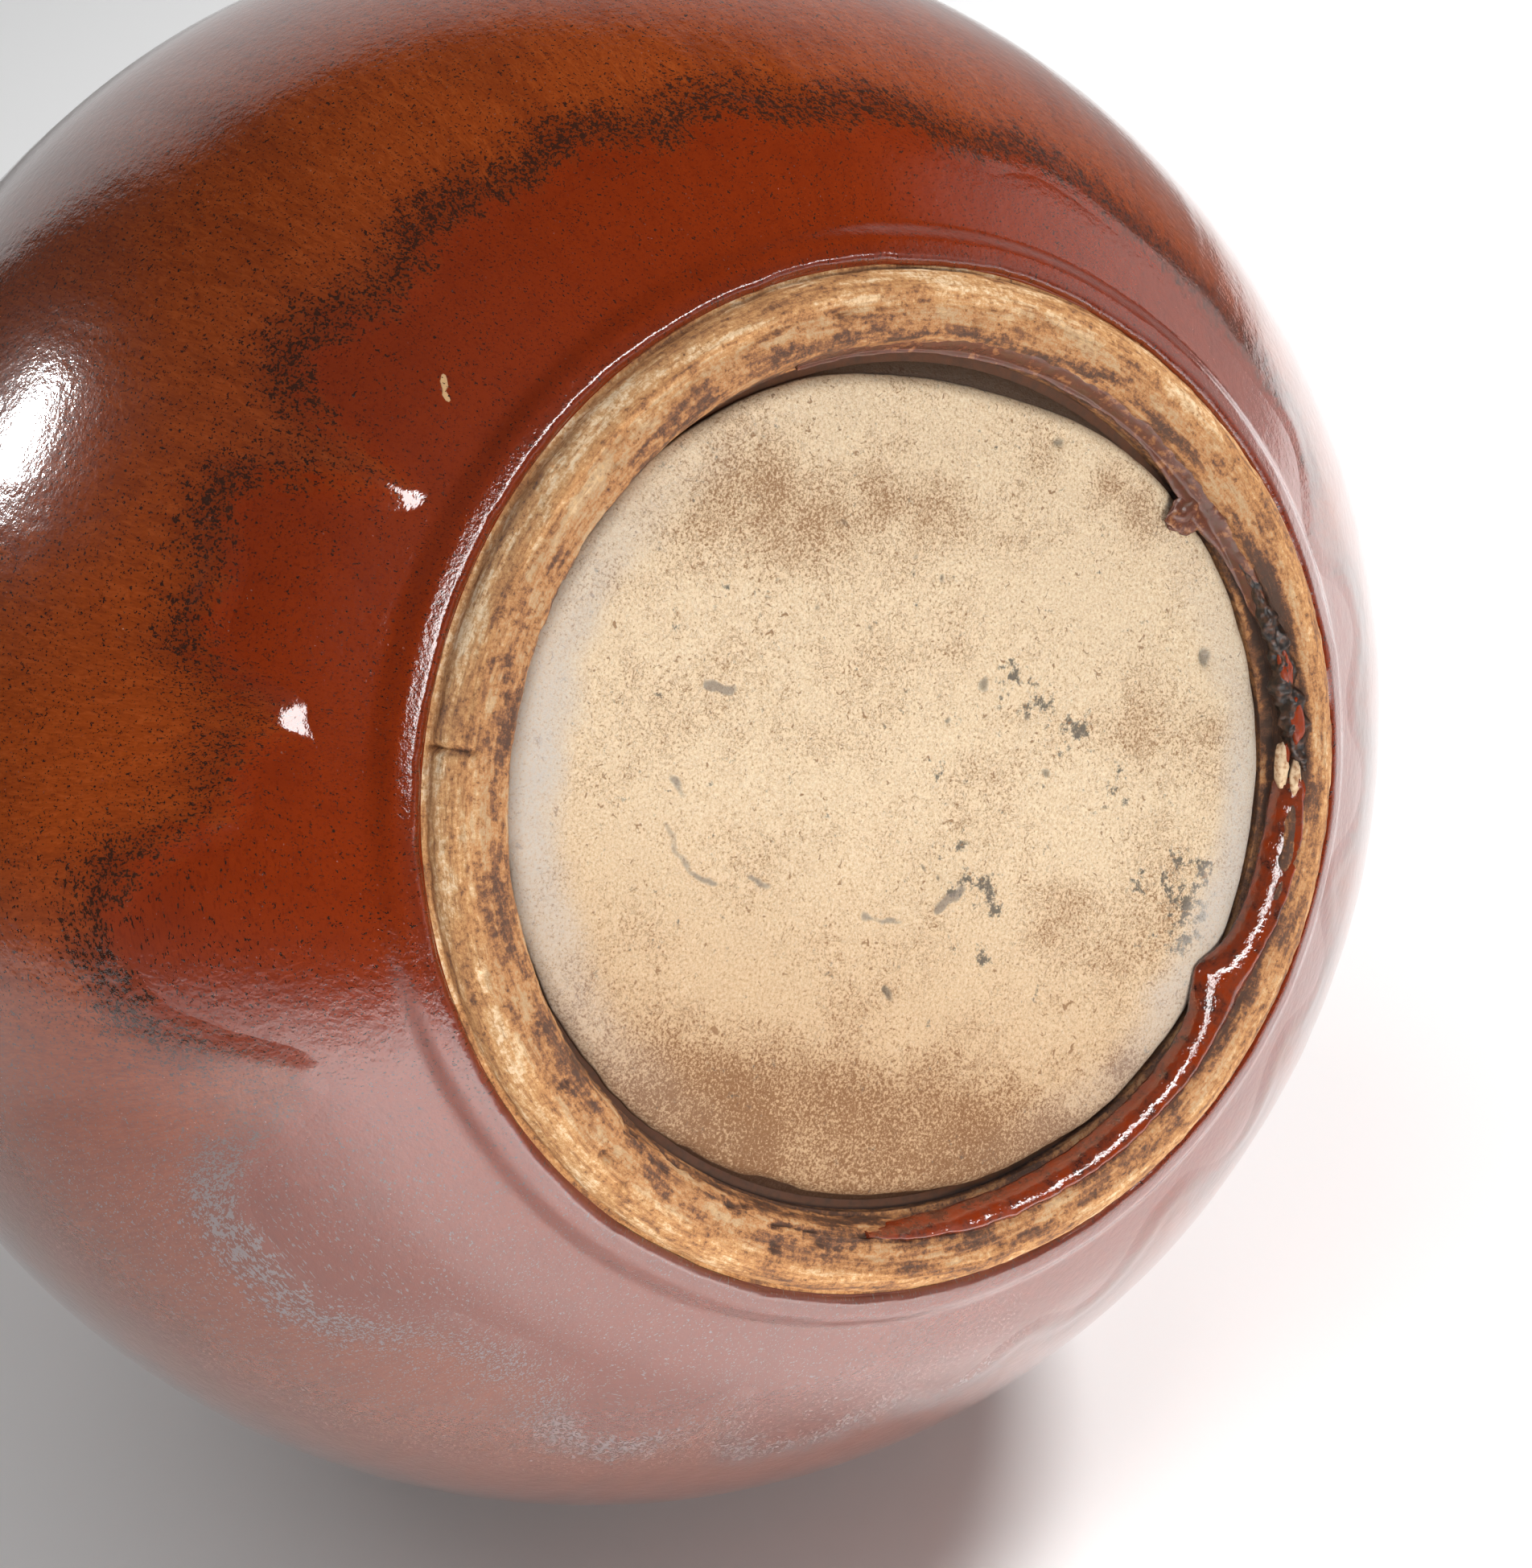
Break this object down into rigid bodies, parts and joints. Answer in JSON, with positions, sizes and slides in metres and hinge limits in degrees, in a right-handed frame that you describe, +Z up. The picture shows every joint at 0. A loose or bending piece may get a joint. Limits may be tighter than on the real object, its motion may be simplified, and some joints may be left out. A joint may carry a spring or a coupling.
{
  "type": "globe vase",
  "caption": "Globe vase with a straight neck, turned foot ring and inset base, under a red-brown glaze and a thicker brown glaze that ran down in tongues.",
  "frame": {"origin": "on the vase's axis, in the plane of the foot ring's standing face", "axes": "+Z up along the axis, towards the mouth; -Y towards the side that the picture shows"},
  "size_m": [0.22, 0.22, 0.33],
  "materials": {
    "clay": "matt fired clay",
    "slip": "matt fired slip",
    "foot_clay": "matt fired clay, turned and stained",
    "base_clay": "matt fired clay, pale and specked",
    "first_glaze": "glossy",
    "second_glaze": "glossy, streaked and specked",
    "inside_glaze": "satin",
    "run_glaze": "glossy",
    "grit": "rough, fused"
  },
  "bodies": {
    "root": {"lower_bowl": "clay", "belly_seam": "slip", "upper_bowl": "clay", "neck_seam": "slip", "neck": "clay", "foot_seam": "slip", "foot_ring": "foot_clay", "base_seam": "slip", "base_disc": "base_clay", "first_glaze": "first_glaze", "second_glaze": "second_glaze", "inside_glaze": "inside_glaze", "foot_run": "run_glaze", "kiln_grit": "grit"}
  },
  "joints": []
}
